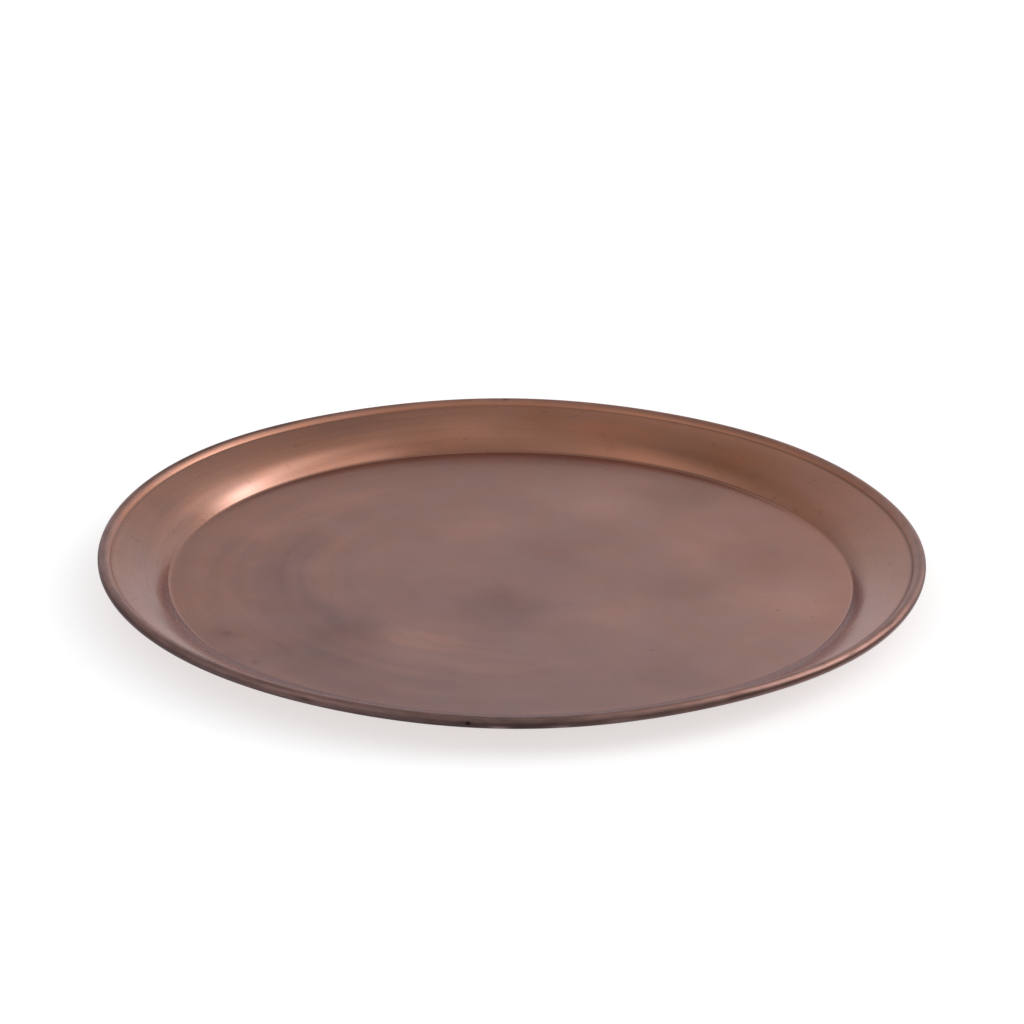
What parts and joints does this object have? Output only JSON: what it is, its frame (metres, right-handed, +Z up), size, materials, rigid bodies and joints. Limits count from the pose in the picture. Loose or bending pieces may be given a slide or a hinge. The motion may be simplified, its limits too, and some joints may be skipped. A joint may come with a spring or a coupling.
{
  "type": "round metal tray",
  "caption": "Round spun copper tray with a flat floor, a low curved wall and a rim rolled round a stiffening wire.",
  "frame": {"origin": "centre of the tray, on the plane it stands on", "axes": "+Z up, along the axis the tray was spun on; X and Y are any two level directions, and the cut ends of the rim wire meet on +X"},
  "size_m": [0.3499, 0.35, 0.0163],
  "materials": {
    "copper_sheet": "antiqued copper, brushed in fine circles, satin",
    "iron_wire": "dull drawn wire"
  },
  "bodies": {
    "root": {"tray_sheet": "copper_sheet", "rim_wire": "iron_wire"}
  },
  "joints": []
}
